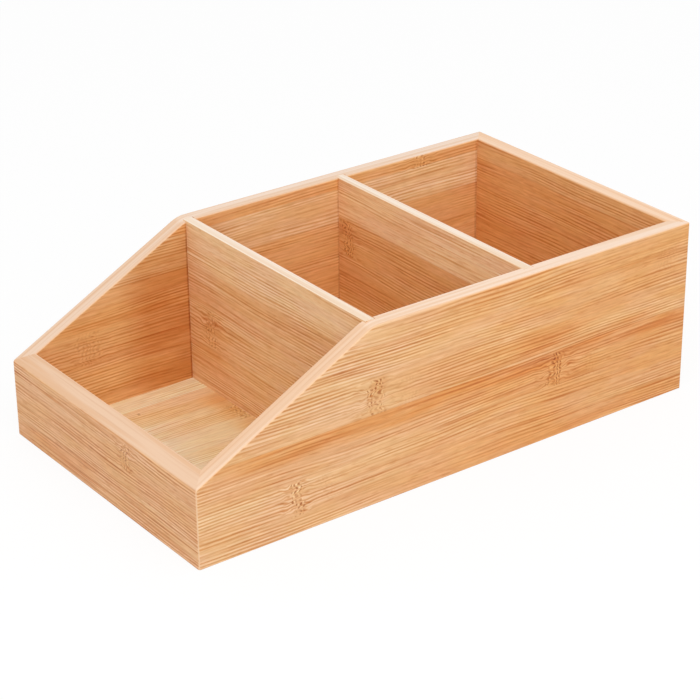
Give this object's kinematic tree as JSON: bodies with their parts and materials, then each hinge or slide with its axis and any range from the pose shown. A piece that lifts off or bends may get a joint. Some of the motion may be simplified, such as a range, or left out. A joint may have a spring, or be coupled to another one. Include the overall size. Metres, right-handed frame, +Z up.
{
  "type": "desk organizer",
  "caption": "Open bamboo desk organizer with a low front wall, sloping sides and thin full-height dividers that part it into compartments.",
  "frame": {"origin": "middle of the underside", "axes": "+X to the right side, +Y from the low front wall to the rear wall, +Z up"},
  "size_m": [0.178, 0.32, 0.1],
  "materials": {
    "bamboo_wall": "sanded, thin clear satin lacquer",
    "bamboo_side": "sanded, thin clear satin lacquer",
    "bamboo_divider": "sanded, thin clear satin lacquer",
    "bamboo_panel": "sanded, thin clear satin lacquer",
    "spline_wood": "raw",
    "brad_steel": "bright wire"
  },
  "bodies": {
    "root": {"front_wall": "bamboo_wall", "rear_wall": "bamboo_wall", "left_side": "bamboo_side", "right_side": "bamboo_side", "front_divider": "bamboo_divider", "rear_divider": "bamboo_divider", "bottom_panel": "bamboo_panel", "front_left_spline": "spline_wood", "front_right_spline": "spline_wood", "rear_left_spline": "spline_wood", "rear_right_spline": "spline_wood", "bottom_brads": "brad_steel"}
  },
  "joints": []
}
